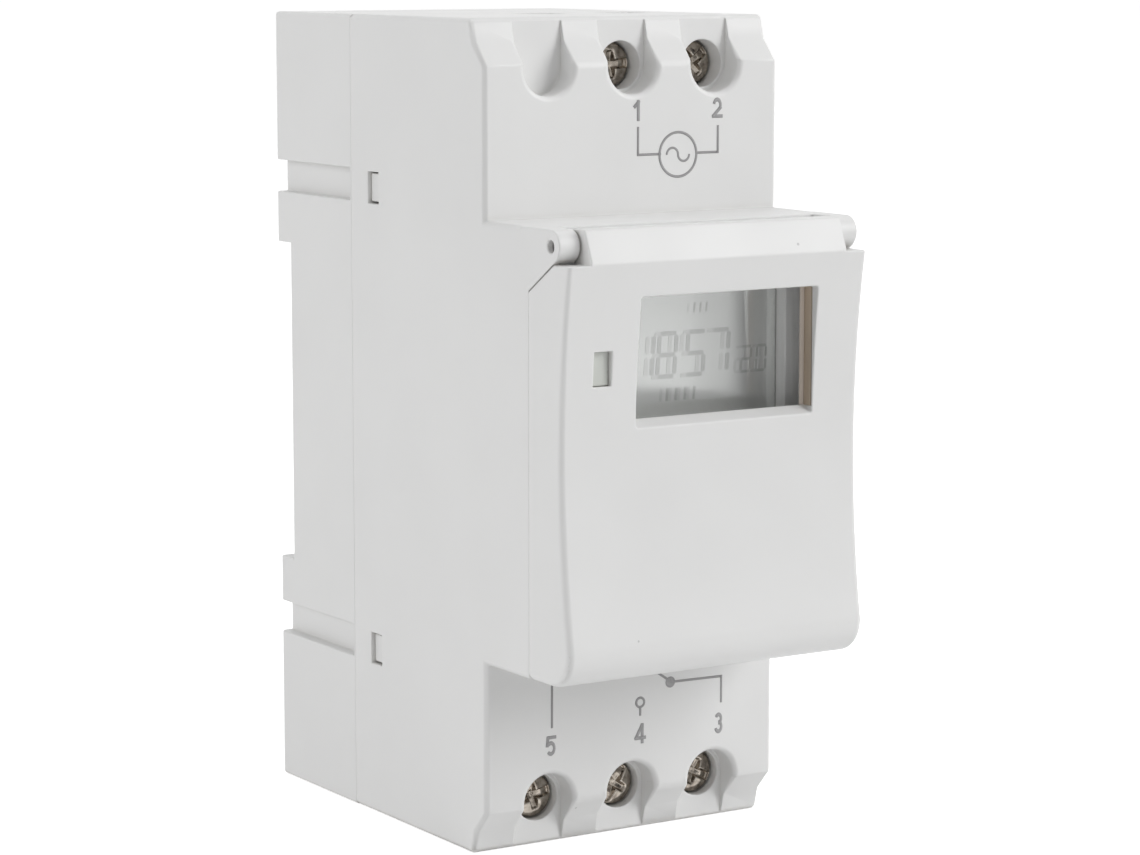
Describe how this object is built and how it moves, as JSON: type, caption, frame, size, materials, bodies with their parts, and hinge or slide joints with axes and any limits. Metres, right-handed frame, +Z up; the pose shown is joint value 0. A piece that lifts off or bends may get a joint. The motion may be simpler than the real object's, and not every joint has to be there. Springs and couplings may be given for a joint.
{
  "type": "digital timer switch",
  "caption": "White two-module rail-mounted digital timer switch with a windowed hinged flap over display and keys, rising-clamp screw terminals and a sprung rail latch.",
  "frame": {"origin": "middle of the lower end, on the floor plane, half way from the rear plane to the flap's lips", "axes": "+X right as seen from the front, +Y to the rear (the front faces -Y), +Z up"},
  "size_m": [0.036, 0.061, 0.086],
  "materials": {
    "case_plastic": "fine satin",
    "latch_plastic": "satin",
    "window_plastic": "clear, polished",
    "guide_plastic": "translucent",
    "key_plastic": "satin",
    "display_glass": "polished",
    "holder_plastic": "satin",
    "contact_rubber": "matt",
    "circuit_board": "solder mask",
    "black_plastic": "matt",
    "steel": "bright",
    "nickel_steel": "nickel plated",
    "zinc_steel": "zinc plated",
    "brass": "plain",
    "lamp_plastic": "clear tinted",
    "capacitor_yellow": "moulded",
    "capacitor_sleeve": "sleeved",
    "component_ceramic": "coated"
  },
  "bodies": {
    "case": {"backup_battery": "steel", "board_header": "black_plastic", "bridge_rectifier": "black_plastic", "clock_crystal": "steel", "contact_bar_1": "brass", "contact_bar_2": "brass", "contact_bar_3": "brass", "contact_bar_4": "brass", "contact_bar_5": "brass", "contact_strips": "contact_rubber", "controller_chip": "black_plastic", "display_board": "circuit_board", "display_board_screws": "steel", "filter_capacitor": "capacitor_yellow", "front_housing": "case_plastic", "fusible_resistor": "component_ceramic", "hinge_pin": "steel", "key_switches": "black_plastic", "latch_spring": "steel", "lcd_glass": "display_glass", "lcd_holder": "holder_plastic", "mains_relay": "black_plastic", "power_board": "circuit_board", "rear_base": "case_plastic", "ripple_capacitor": "capacitor_sleeve", "smoothing_capacitor": "capacitor_sleeve", "status_led": "lamp_plastic", "varistor": "component_ceramic"},
    "flap": {"flap_cover": "case_plastic", "flap_window_pane": "window_plastic", "light_guide": "guide_plastic"},
    "rail_latch": {"rail_latch": "latch_plastic"},
    "button_program": {"button_program": "key_plastic"},
    "button_day": {"button_day": "key_plastic"},
    "button_hour": {"button_hour": "key_plastic"},
    "button_minute": {"button_minute": "key_plastic"},
    "button_clock": {"button_clock": "key_plastic"},
    "button_manual": {"button_manual": "key_plastic"},
    "button_reset": {"button_reset": "key_plastic"},
    "terminal_screw_1": {"terminal_screw_1": "nickel_steel"},
    "terminal_cage_1": {"terminal_cage_1": "zinc_steel"},
    "terminal_screw_2": {"terminal_screw_2": "nickel_steel"},
    "terminal_cage_2": {"terminal_cage_2": "zinc_steel"},
    "terminal_screw_3": {"terminal_screw_3": "nickel_steel"},
    "terminal_cage_3": {"terminal_cage_3": "zinc_steel"},
    "terminal_screw_4": {"terminal_screw_4": "nickel_steel"},
    "terminal_cage_4": {"terminal_cage_4": "zinc_steel"},
    "terminal_screw_5": {"terminal_screw_5": "nickel_steel"},
    "terminal_cage_5": {"terminal_cage_5": "zinc_steel"}
  },
  "joints": [
    {"name": "flap_hinge", "type": "hinge", "parent": "case", "child": "flap", "pos_m": [0, -0.0271, 0.06415], "axis": [-1, 0, 0], "range_deg": [0, 100]},
    {"name": "rail_latch_slide", "type": "slide", "parent": "case", "child": "rail_latch", "axis": [0, 0, -1], "range_m": [0, 0.003], "stiffness_N_per_m": 800, "springref_m": -0.002, "deforming": ["latch_spring"]},
    {"name": "button_program_press", "type": "slide", "parent": "case", "child": "button_program", "axis": [0, 1, 0], "range_m": [0, 0.0005], "stiffness_N_per_m": 3000, "springref_m": -0.0003},
    {"name": "button_day_press", "type": "slide", "parent": "case", "child": "button_day", "axis": [0, 1, 0], "range_m": [0, 0.0005], "stiffness_N_per_m": 3000, "springref_m": -0.0003},
    {"name": "button_hour_press", "type": "slide", "parent": "case", "child": "button_hour", "axis": [0, 1, 0], "range_m": [0, 0.0005], "stiffness_N_per_m": 3000, "springref_m": -0.0003},
    {"name": "button_minute_press", "type": "slide", "parent": "case", "child": "button_minute", "axis": [0, 1, 0], "range_m": [0, 0.0005], "stiffness_N_per_m": 3000, "springref_m": -0.0003},
    {"name": "button_clock_press", "type": "slide", "parent": "case", "child": "button_clock", "axis": [0, 1, 0], "range_m": [0, 0.0005], "stiffness_N_per_m": 3000, "springref_m": -0.0003},
    {"name": "button_manual_press", "type": "slide", "parent": "case", "child": "button_manual", "axis": [0, 1, 0], "range_m": [0, 0.0005], "stiffness_N_per_m": 3000, "springref_m": -0.0003},
    {"name": "button_reset_press", "type": "slide", "parent": "case", "child": "button_reset", "axis": [0, 1, 0], "range_m": [0, 0.0005], "stiffness_N_per_m": 3000, "springref_m": -0.0003},
    {"name": "terminal_screw_1_turn", "type": "hinge", "parent": "case", "child": "terminal_screw_1", "pos_m": [0, -0.0102, 0.081], "axis": [0, 1, 0], "range_deg": [0, 1890]},
    {"name": "terminal_cage_1_rise", "type": "slide", "parent": "case", "child": "terminal_cage_1", "axis": [0, -1, 0], "range_m": [0, 0.00367]},
    {"name": "terminal_screw_2_turn", "type": "hinge", "parent": "case", "child": "terminal_screw_2", "pos_m": [0.0102, -0.0102, 0.081], "axis": [0, 1, 0], "range_deg": [0, 1890]},
    {"name": "terminal_cage_2_rise", "type": "slide", "parent": "case", "child": "terminal_cage_2", "axis": [0, -1, 0], "range_m": [0, 0.00367]},
    {"name": "terminal_screw_3_turn", "type": "hinge", "parent": "case", "child": "terminal_screw_3", "pos_m": [0.0102, -0.0112, 0.005], "axis": [0, 1, 0], "range_deg": [0, 1890]},
    {"name": "terminal_cage_3_rise", "type": "slide", "parent": "case", "child": "terminal_cage_3", "axis": [0, -1, 0], "range_m": [0, 0.00367]},
    {"name": "terminal_screw_4_turn", "type": "hinge", "parent": "case", "child": "terminal_screw_4", "pos_m": [0, -0.0112, 0.005], "axis": [0, 1, 0], "range_deg": [0, 1890]},
    {"name": "terminal_cage_4_rise", "type": "slide", "parent": "case", "child": "terminal_cage_4", "axis": [0, -1, 0], "range_m": [0, 0.00367]},
    {"name": "terminal_screw_5_turn", "type": "hinge", "parent": "case", "child": "terminal_screw_5", "pos_m": [-0.0102, -0.0112, 0.005], "axis": [0, 1, 0], "range_deg": [0, 1890]},
    {"name": "terminal_cage_5_rise", "type": "slide", "parent": "case", "child": "terminal_cage_5", "axis": [0, -1, 0], "range_m": [0, 0.00367]}
  ],
  "couplings": [
    {"joint": "terminal_screw_1_turn", "follows": "terminal_cage_1_rise", "rad_per_m": 8976},
    {"joint": "terminal_screw_2_turn", "follows": "terminal_cage_2_rise", "rad_per_m": 8976},
    {"joint": "terminal_screw_3_turn", "follows": "terminal_cage_3_rise", "rad_per_m": 8976},
    {"joint": "terminal_screw_4_turn", "follows": "terminal_cage_4_rise", "rad_per_m": 8976},
    {"joint": "terminal_screw_5_turn", "follows": "terminal_cage_5_rise", "rad_per_m": 8976}
  ]
}
